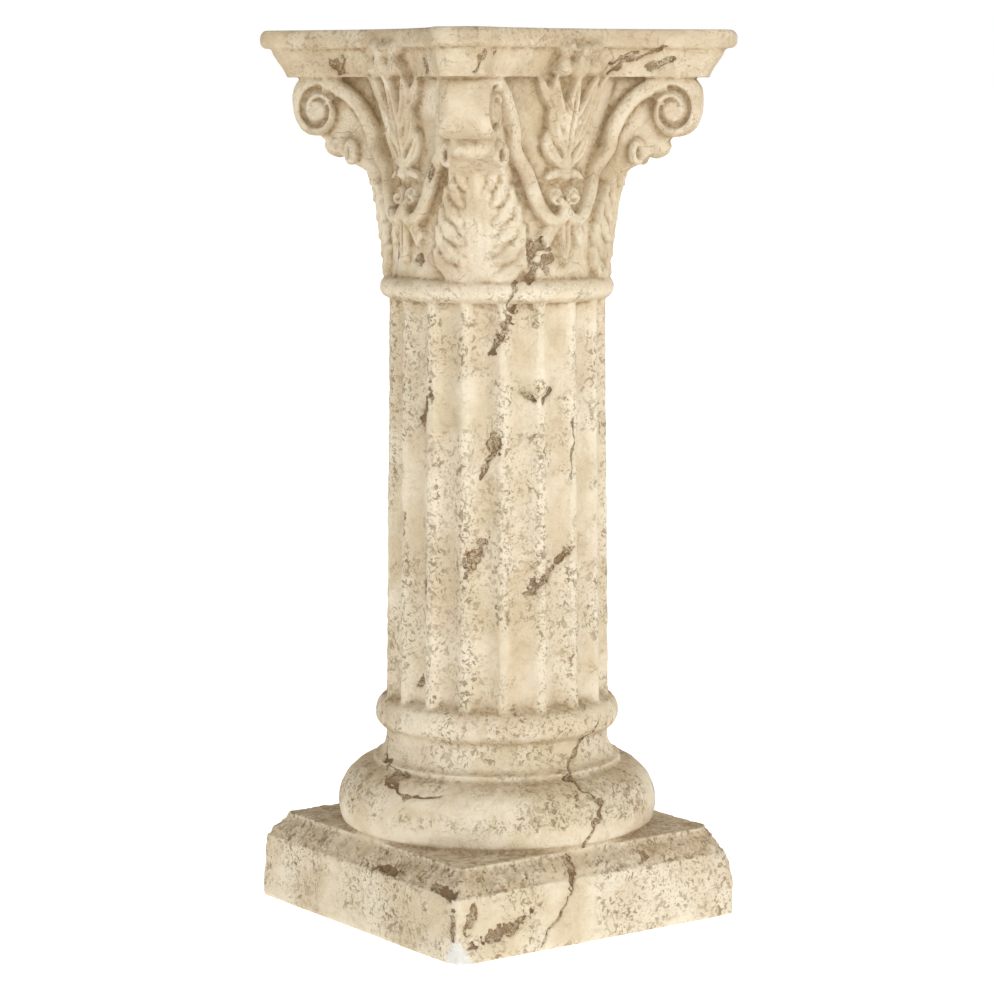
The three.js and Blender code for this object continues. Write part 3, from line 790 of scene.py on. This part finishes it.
# Sizes of the lumps of noise that tear, pit and wave the surface
FINE_LUMPS = 2.8
ROUGH_LUMPS = 5.0
WANDER_LUMPS = 8.0
CORNER_LUMP_SIZE = 9.0
SMALL_LUMPS = 11.0
PATCH_LUMPS = 15.0
CLOUD_LUMPS = 22.0
EDGE_LUMPS = 26.0
WIDE_PATCH_LUMPS = 42.0
BROAD_LUMPS = 48.0
# Shares of softening all over and on the worn edges
SOFTENING = 0.6
EDGE_WEAR = 0.3
# Depths sunk into the surface
SKIN_DEPTH = 0.3
GOUGE_DEPTH = 1.6
GOUGE_ROUGHNESS = 2.2
CRACK_DEPTH = 2.2
PIT_DEPTH = 1.2
# Rounds of smoothing that find edges and hollows, and those that find deep undercuts
NEAR_ROUNDS = 20
FAR_ROUNDS = 80
# Share of small pits at a height, from the plinth to the abacus
PIT_HEIGHTS = [0, 55, 60, 78, 84, 96, 104, 130, 137, 150, 170, 190, 200, 545, 560, 580, 745, HEIGHT]
PIT_SHARES = [0.7, 0.75, 0.95, 0.8, 0.2, 0.25, 1, 1, 0.5, 0.55, 0.9, 0.6, 0.85, 0.85, 0.45, 0.3, 0.35, 0.5]


def smoothed(points, edges, rounds):
    """Points moved to the middle of their neighbours, again and again."""
    first, second = edges.T
    degree = np.bincount(edges.ravel(), minlength=len(points))
    for _ in range(rounds):
        count = len(points)
        points = np.stack([
            np.bincount(first, column[second], count) + np.bincount(second, column[first], count)
            for column in points.T
        ], -1) / degree[:, None]
    return points


def spots(side, rise, torn, places):
    """1 inside leaning oval spots with torn edges, 0 away from them."""
    mask = np.zeros(len(side))
    for place, height, half_length, half_width, slope in places:
        c, s = np.cos(np.radians(slope)), np.sin(np.radians(slope))
        along = (side - place) * c + (rise - height) * s
        across = (rise - height) * c - (side - place) * s
        away = np.hypot(along / half_length, across / half_width) + SPOT_TEAR * (torn - 0.5)
        mask = np.maximum(mask, smooth_step(1.1, 0.8, away))
    return mask


def line_mask(side, rise, wander, path, half_width):
    """1 along a wandering line, 0 away from it."""
    side = side + CRACK_WANDER * (wander[:, 0] - 0.5)
    rise = rise + CRACK_WANDER * (wander[:, 1] - 0.5)
    nearest = np.full(len(side), np.inf)
    for (x0, z0), (x1, z1) in zip(path, path[1:]):
        dx, dz = x1 - x0, z1 - z0
        t = np.clip(((side - x0) * dx + (rise - z0) * dz) / (dx ** 2 + dz ** 2), 0, 1)
        nearest = np.minimum(nearest, np.hypot(side - x0 - t * dx, rise - z0 - t * dz))
    return smooth_step(half_width, 0.3 * half_width, nearest)


def damage(points, torn, wander):
    """Masks of the gouges and of the cracks seen on the object."""
    z = points[:, 2]
    round_part = z > PLATE_TOP
    side = np.arctan2(points[:, 0], -points[:, 1]) * CRACK_RADIUS
    unrolled = np.radians(1) * CRACK_RADIUS
    gouge = round_part * spots(side, z, torn, [(angle * unrolled, *rest) for angle, *rest in GOUGES])
    crack = np.zeros(len(points))
    for path in CRACKS:
        flat_path = [(angle * unrolled, height) for angle, height in path]
        crack = np.maximum(crack, line_mask(side, z, wander, flat_path, CRACK_HALF_WIDTH))
    crack *= round_part
    front = ~round_part & (points[:, 1] < MARK_REACH - PLATE_HALF)
    left = ~round_part & (points[:, 0] < MARK_REACH - PLATE_HALF)
    gouge[front] = spots(points[front, 0], z[front], torn[front], FRONT_MARKS)
    gouge[left] = np.maximum(gouge[left], spots(points[left, 1], z[left], torn[left], LEFT_MARKS))
    crack[front] = line_mask(points[front, 0], z[front], wander[front], FRONT_CRACK, CRACK_HALF_WIDTH)
    return gouge, crack


def worn_corners(points):
    """Wears one plinth corner round and chips the foot of another; gives the mask of the fresh break."""
    low = points[:, 2] < PLATE_TOP
    lumps = noise(points, CORNER_LUMP_SIZE, 31)
    right = (points[:, 0] - points[:, 1]) * np.sqrt(0.5)
    limit = np.interp(points[:, 2], *np.array(CORNER_WEAR).T)
    cut = np.clip(right - limit - CORNER_LUMPS * (lumps - 0.5), 0, MOST_WEAR)
    cut = np.where(low, cut, 0) * np.sqrt(0.5)
    points[:, 0] -= cut
    points[:, 1] += cut
    front = -(points[:, 0] + points[:, 1]) * np.sqrt(0.5)
    past = front + CHIP_SLOPE * (CHIP_TOP - points[:, 2]) + CHIP_LUMPS * (lumps - 0.5) - CHIP_REACH
    chip = np.where(low, np.clip(past, 0, MOST_WEAR), 0)
    points[:, :2] += (CHIP_DEPTH_SHARE * np.sqrt(0.5) * chip)[:, None]
    return smooth_step(0.3, 2.0, chip)


def on_shaft(points):
    """1 on the fluted shaft and 0 off it, and the place across a flute."""
    fluted = smooth_step(*FLUTES_LOW_FADE, points[:, 2]) * smooth_step(*FLUTES_HIGH_FADE, points[:, 2])
    return fluted, flute_place(np.arctan2(points[:, 0], -points[:, 1]))


def pitted_share(points, edge):
    """How thickly small pits lie, by height and in patches."""
    share = np.interp(points[:, 2], PIT_HEIGHTS, PIT_SHARES)
    fluted, place = on_shaft(points)
    share *= 1 - 0.4 * fluted * smooth_step(0.75, 0.3, place)
    patch = 0.6 * noise(points, WIDE_PATCH_LUMPS, 9) + 0.4 * noise(points, PATCH_LUMPS, 10)
    return share * smooth_step(0.28, 0.56, patch) * (0.8 + 0.2 * edge)


def weathered(mesh):
    """Softens edges, sinks pits, gouges and cracks, and notes where each tint of the finish lies, painted
    shade in hollows, undercuts, flutes and under mouldings among them.
    """
    points = values_of(mesh.vertices, "co", 3).astype(float) / MM
    edges = values_of(mesh.edges, "vertices", 2, np.int32)
    normals = values_of(mesh.vertex_normals, "vector", 3).astype(float)
    points += SOFTENING * (smoothed(points, edges, 1) - points)
    near = smoothed(points, edges, NEAR_ROUNDS)
    far = smoothed(near, edges, FAR_ROUNDS)
    hollow = np.einsum("ij,ij->i", near - points, normals)
    deep = np.einsum("ij,ij->i", far - points, normals)
    edge = smooth_step(0.2, 1.2, -hollow)
    wear = EDGE_WEAR * edge * smooth_step(0.35, 0.75, noise(points, EDGE_LUMPS, 1))
    points += wear[:, None] * (near - points)
    bare = worn_corners(points)

    fine = noise(points, FINE_LUMPS, 2)
    rough = noise(points, ROUGH_LUMPS, 3)
    lumps = noise(points, SMALL_LUMPS, 4)
    broad = noise(points, BROAD_LUMPS, 5)
    wander = np.stack([noise(points, WANDER_LUMPS, seed) for seed in (6, 7)], -1)
    gouge, crack = damage(points, 0.4 * rough + 0.25 * lumps + 0.35 * fine, wander)
    pitted = pitted_share(points, edge)
    pit = smooth_step(0.59, 0.71, 0.5 * rough + 0.5 * fine) * pitted
    on_ogee = smooth_step(SLAB_TOP - 2, SLAB_TOP + 2, points[:, 2])
    on_ogee *= smooth_step(PLATE_TOP - 1, PLATE_LOW - 1, points[:, 2])
    upright = smooth_step(0.2, 2.5, points[:, 2]) * smooth_step(0.2, 1.5, HEIGHT - points[:, 2])
    gouged = gouge * (GOUGE_DEPTH + GOUGE_ROUGHNESS * rough)
    sink = np.maximum.reduce([gouged, CRACK_DEPTH * crack, PIT_DEPTH * pit])
    lift = 0.5 * (broad - 0.5) + 0.9 * (lumps - 0.5) + (0.5 + 2.2 * on_ogee) * (rough - 0.5)
    points += ((lift - sink - SKIN_DEPTH) * upright)[:, None] * normals
    points[:, 2] = np.clip(points[:, 2], 0, HEIGHT)

    ledge = smooth_step(0.5, 0.9, normals[:, 2]) * smooth_step(*LEDGE_FADE, points[:, 2])
    under = smooth_step(0.3, 0.8, -normals[:, 2]) * smooth_step(*UNDERSIDE_FADE, points[:, 2])
    fluted, place = on_shaft(points)
    rim = smooth_step(*ABACUS_FADE, points[:, 2])
    capital = smooth_step(*CAPITAL_FADE, points[:, 2])
    clouded = capital * (0.2 + 0.45 * smooth_step(0.42, 0.66, noise(points, CLOUD_LUMPS, 8)))
    # painted shade: tan in deep undercuts such as between the volutes and the bell, weaker on the base
    painted_undercut_shade = (0.4 + 0.6 * capital) * smooth_step(0.8, 6.0, deep)
    # brown wash in small hollows and creases, partly patina and partly painted shade
    hollow_wash_and_shade = smooth_step(0.25 - 0.15 * capital, 1.5 - 0.65 * capital, hollow + 0.6 * (lumps - 0.5))
    # dust on ledges, dirt on the ogee, darker on the abacus, and painted shade on faces turned down
    dust_and_underside_shade = np.maximum.reduce([0.75 * ledge, 0.6 * under, 0.55 * on_ogee, 0.38 * rim]) * (0.5 + lumps)
    tints = {
        "brown": np.maximum.reduce([gouge, crack, 0.6 * pit, 0.5 * on_ogee * smooth_step(0.5, 0.7, rough)]),
        "wash_and_painted_shade": np.maximum(hollow_wash_and_shade, dust_and_underside_shade),
        # painted shade in deep undercuts and in the flute hollows, with tan clouds on the capital
        "shade": np.maximum.reduce([painted_undercut_shade, clouded, 0.22 * fluted * smooth_step(0.7, 0.25, place)]),
        "veined": 0.3 + 0.7 * capital,
        "bare": bare,
        "edge": np.maximum(edge, 0.8 * fluted * smooth_step(0.72, 0.92, place)),
        "pitted": pitted,
    }
    mesh.vertices.foreach_set("co", (points * MM).astype(np.float32).ravel())
    for name, value in tints.items():
        mesh.attributes.new(name, "FLOAT", "POINT").data.foreach_set("value", value.astype(np.float32))
    mesh.update()
    thinned = with_modifier(mesh, "DECIMATE", ratio=MOST_TRIANGLES / (2 * len(mesh.polygons)))
    thinned.polygons.foreach_set("use_smooth", np.ones(len(thinned.polygons), bool))
    return thinned


# Plaster finish, with painted shade

class Nodes:
    """Short hand for adding and joining shader nodes."""

    def __init__(self, material):
        material.use_nodes = True
        self.tree = material.node_tree
        self.shader = self.tree.nodes["Principled BSDF"]
        self.place = self.add("ShaderNodeTexCoord").outputs["Object"]

    def add(self, kind, **settings):
        node = self.tree.nodes.new(kind)
        for key, value in settings.items():
            setattr(node, key, value)
        return node

    def join(self, node, **values):
        """Links sockets and sets plain values by the inputs' names, with _ for a space."""
        for name, value in values.items():
            socket = node.inputs[name.replace("_", " ")]
            if isinstance(value, bpy.types.NodeSocket):
                self.tree.links.new(value, socket)
            else:
                socket.default_value = value
        return node

    def attribute(self, name):
        return self.add("ShaderNodeAttribute", attribute_name=name).outputs["Fac"]

    def noise(self, lumps_per_metre, detail=4.0, roughness=0.55, distortion=0.0):
        node = self.join(
            self.add("ShaderNodeTexNoise"), Vector=self.place, Scale=lumps_per_metre, Detail=detail,
            Roughness=roughness, Distortion=distortion,
        )
        return node.outputs["Fac"]

    def between(self, value, low, high, to_low=0.0, to_high=1.0):
        node = self.join(
            self.add("ShaderNodeMapRange", interpolation_type="SMOOTHSTEP"),
            Value=value, From_Min=low, From_Max=high, To_Min=to_low, To_Max=to_high,
        )
        return node.outputs["Result"]

    def math(self, operation, first, second):
        node = self.add("ShaderNodeMath", operation=operation, use_clamp=True)
        for socket, value in zip(node.inputs, (first, second)):
            if isinstance(value, bpy.types.NodeSocket):
                self.tree.links.new(value, socket)
            else:
                socket.default_value = value
        return node.outputs["Value"]

    def times(self, first, second):
        return self.math("MULTIPLY", first, second)

    def mix(self, share, first, second):
        node = self.join(self.add("ShaderNodeMix", data_type="RGBA"), Factor=share, A=first, B=second)
        return node.outputs["Result"]


CREAM = (0.71, 0.587, 0.4, 1)
PALE_CREAM = (0.85, 0.753, 0.58, 1)
ROSE = (0.70, 0.545, 0.39, 1)
OLIVE = (0.62, 0.54, 0.35, 1)
# the two browns below also serve as painted shade in hollows, undercuts, flutes and under mouldings
TAN = (0.44, 0.315, 0.17, 1)
DARK_WASH_AND_SHADE = (0.29, 0.195, 0.095, 1)
STONE_BROWN = (0.29, 0.205, 0.11, 1)
UMBER = (0.165, 0.08, 0.022, 1)
BARE_PLASTER = (0.8, 0.79, 0.73, 1)


def plaster():
    """Cream plaster, pitted like travertine, washed brown in its hollows with painted shade there and under
    mouldings, and rubbed pale on its edges.
    """
    material = bpy.data.materials.new("antiqued_plaster")
    nodes = Nodes(material)
    pitted = nodes.attribute("pitted")

    # Clouds of cream, rose, olive and tan
    colour = nodes.mix(nodes.between(nodes.noise(16, 5, 0.6, 0.6), 0.36, 0.64), CREAM, PALE_CREAM)
    colour = nodes.mix(nodes.between(nodes.noise(10, 3), 0.52, 0.72, 0, 0.6), colour, ROSE)
    colour = nodes.mix(nodes.between(nodes.noise(13, 4, 0.6, 1.0), 0.54, 0.72, 0, 0.55), colour, OLIVE)
    colour = nodes.mix(nodes.between(nodes.noise(70, 6, 0.65, 0.8), 0.5, 0.74, 0, 0.35), colour, TAN)
    colour = nodes.mix(nodes.times(nodes.attribute("edge"), 0.5), colour, PALE_CREAM)

    # Brown wash in the hollows, partly patina and partly painted shade, and painted shade in undercuts,
    # flutes and under mouldings
    breakup = nodes.between(nodes.noise(150, 5, 0.7), 0.25, 0.75, 0.35, 1.0)
    wash_and_painted_shade = nodes.times(nodes.attribute("wash_and_painted_shade"), breakup)
    # painted shade in undercuts and flute hollows, and tan clouds on the capital, mixed towards tan
    colour = nodes.mix(nodes.times(nodes.attribute("shade"), 0.65), colour, TAN)
    colour = nodes.mix(wash_and_painted_shade, colour, TAN)
    colour = nodes.mix(nodes.between(wash_and_painted_shade, 0.45, 1.0, 0, 0.75), colour, DARK_WASH_AND_SHADE)

    # Pits and hairlines
    coarse = nodes.between(nodes.noise(210, 2.1, 0.56, 0.55), 0.55, 0.635)
    small = nodes.between(nodes.noise(430, 1.3, 0.5, 0.2), 0.59, 0.68, 0, 0.7)
    specks = nodes.times(nodes.math("MAXIMUM", coarse, small), nodes.between(pitted, 0.1, 0.6))
    bold = nodes.between(nodes.noise(135, 2.6, 0.6, 0.7), 0.565, 0.63)
    specks = nodes.math("MAXIMUM", specks, nodes.times(bold, nodes.between(pitted, 0.58, 0.8)))
    stray = nodes.between(nodes.noise(330, 2.0, 0.6), 0.68, 0.73, 0, 0.5)
    specks = nodes.math("MAXIMUM", specks, stray)
    course = nodes.noise(30, 3.5, 0.58, 1.0)
    hairline = nodes.times(nodes.between(course, 0.484, 0.498), nodes.between(course, 0.498, 0.512, 1, 0))
    broken = nodes.between(nodes.noise(48, 3), 0.44, 0.58, 0, 0.55)
    hairline = nodes.times(nodes.times(hairline, broken), nodes.attribute("veined"))
    colour = nodes.mix(hairline, colour, DARK_WASH_AND_SHADE)
    depth = nodes.between(nodes.noise(60, 3), 0.35, 0.65, 0.38, 0.88)
    colour = nodes.mix(nodes.times(specks, depth), colour, STONE_BROWN)

    # Torn stains in the gouges and cracks, and the fresh break
    torn = nodes.times(nodes.noise(300, 5, 0.7, 0.8), 0.8)
    ragged = nodes.between(nodes.math("ADD", nodes.attribute("brown"), torn), 0.74, 0.98)
    swirl = nodes.noise(120, 4, 0.6, 2.2)
    strokes = nodes.times(nodes.between(swirl, 0.4, 0.48), nodes.between(swirl, 0.5, 0.58, 1, 0))
    filled = nodes.between(nodes.noise(32, 2), 0.46, 0.6, 0.32, 0.85)
    stain = nodes.times(ragged, nodes.math("MAXIMUM", strokes, filled))
    colour = nodes.mix(nodes.times(stain, 0.9), colour, UMBER)
    colour = nodes.mix(nodes.attribute("bare"), colour, BARE_PLASTER)

    # Grain, small dents and sunk pits
    grain = nodes.between(nodes.noise(520, 5, 0.65), 0.2, 0.8, 0, 0.35)
    dents = nodes.between(nodes.noise(150, 4, 0.6, 0.8), 0.3, 0.6, 0, 0.4)
    rough = nodes.math("ADD", nodes.math("ADD", grain, dents), 0.25)
    sunk = nodes.times(nodes.math("MAXIMUM", specks, hairline), 0.5)
    relief = nodes.math("SUBTRACT", rough, sunk)
    bump = nodes.join(nodes.add("ShaderNodeBump"), Strength=0.8, Distance=0.0016, Height=relief)
    nodes.join(
        nodes.shader, Base_Color=colour, Normal=bump.outputs["Normal"],
        Roughness=nodes.between(nodes.noise(90, 4), 0.3, 0.7, 0.7, 0.92),
    )
    nodes.shader.inputs["Specular IOR Level"].default_value = 0.25
    return material


# The piece

column = bpy.data.objects.new("column_casting", weathered(casting()))
column.data.name = "column_casting"
bpy.context.scene.collection.objects.link(column)
column.data.materials.clear()
column.data.materials.append(plaster())
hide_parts("column")
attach(column, "root")


# Floor, light and camera

CAMERA_BEARING = np.radians(-36.1)
CAMERA_DISTANCE = 2869.6
CAMERA_HEIGHT = 739.0
CAMERA_PITCH = np.radians(7.27)
FOCAL_PIXELS = 3230.6
FRAME_PIXELS = 995
SENSOR = 36.0
FLOOR_GLOW = 0.62
SKY_LIGHT = 0.56
# The floor and the lamps are placed in metres
FLOOR_HALF = 400.0
LIGHT_TARGET = (0, 0, 0.42)


def floor():
    """Plain pale floor, running out of sight."""
    corners = [(x * FLOOR_HALF, y * FLOOR_HALF, 0) for x, y in ((-1, -1), (1, -1), (1, 1), (-1, 1))]
    mesh = bpy.data.meshes.new("floor")
    mesh.from_pydata(corners, [], [(0, 1, 2, 3)])
    material = bpy.data.materials.new("floor")
    material.use_nodes = True
    shader = material.node_tree.nodes["Principled BSDF"]
    shader.inputs["Base Color"].default_value = (0.9, 0.9, 0.9, 1)
    shader.inputs["Roughness"].default_value = 0.9
    shader.inputs["Emission Color"].default_value = (1, 1, 1, 1)
    shader.inputs["Emission Strength"].default_value = FLOOR_GLOW
    mesh.materials.append(material)
    plane = bpy.data.objects.new("floor", mesh)
    bpy.context.scene.collection.objects.link(plane)


def studio_sky():
    """White all round: full white behind the object, softer as light on it."""
    world = bpy.data.worlds.new("studio")
    world.use_nodes = True
    tree = world.node_tree
    background = tree.nodes["Background"]
    background.inputs["Color"].default_value = (1, 1, 1, 1)
    path = tree.nodes.new("ShaderNodeLightPath")
    strength = tree.nodes.new("ShaderNodeMapRange")
    strength.inputs["To Min"].default_value = SKY_LIGHT
    strength.inputs["To Max"].default_value = 1.0
    tree.links.new(path.outputs["Is Camera Ray"], strength.inputs["Value"])
    tree.links.new(strength.outputs["Result"], background.inputs["Strength"])
    bpy.context.scene.world = world


def area_light(name, bearing, distance, height, size, power):
    """Soft square light at a bearing round the column, turned towards its middle."""
    light = bpy.data.lights.new(name, "AREA")
    light.energy = power
    light.size = size
    lamp = bpy.data.objects.new(name, light)
    lamp.location = on_face(np.radians(bearing), distance, height)
    lamp.rotation_euler = (Vector(LIGHT_TARGET) - lamp.location).to_track_quat("-Z", "Y").to_euler()
    bpy.context.scene.collection.objects.link(lamp)


def camera():
    """Camera where the photograph was taken from."""
    lens = bpy.data.cameras.new("camera")
    lens.sensor_width = SENSOR
    lens.lens = FOCAL_PIXELS * SENSOR / FRAME_PIXELS
    eye = bpy.data.objects.new("camera", lens)
    right = Vector((np.cos(CAMERA_BEARING), np.sin(CAMERA_BEARING), 0))
    level = Vector((-np.sin(CAMERA_BEARING), np.cos(CAMERA_BEARING), 0))
    ahead = level * np.cos(CAMERA_PITCH) - Vector((0, 0, 1)) * np.sin(CAMERA_PITCH)
    turn = Matrix((right, right.cross(ahead), -ahead)).transposed()
    place = Vector(on_face(CAMERA_BEARING, CAMERA_DISTANCE, CAMERA_HEIGHT) * MM)
    eye.matrix_world = Matrix.Translation(place) @ turn.to_4x4()
    bpy.context.scene.collection.objects.link(eye)
    bpy.context.scene.camera = eye


studio_sky()
floor()
area_light("key", bearing=10, distance=2.8, height=1.6, size=1.2, power=30.5)
area_light("fill", bearing=-70, distance=3.2, height=1.2, size=2.2, power=17)
camera()
bpy.context.scene.view_settings.view_transform = "Standard"
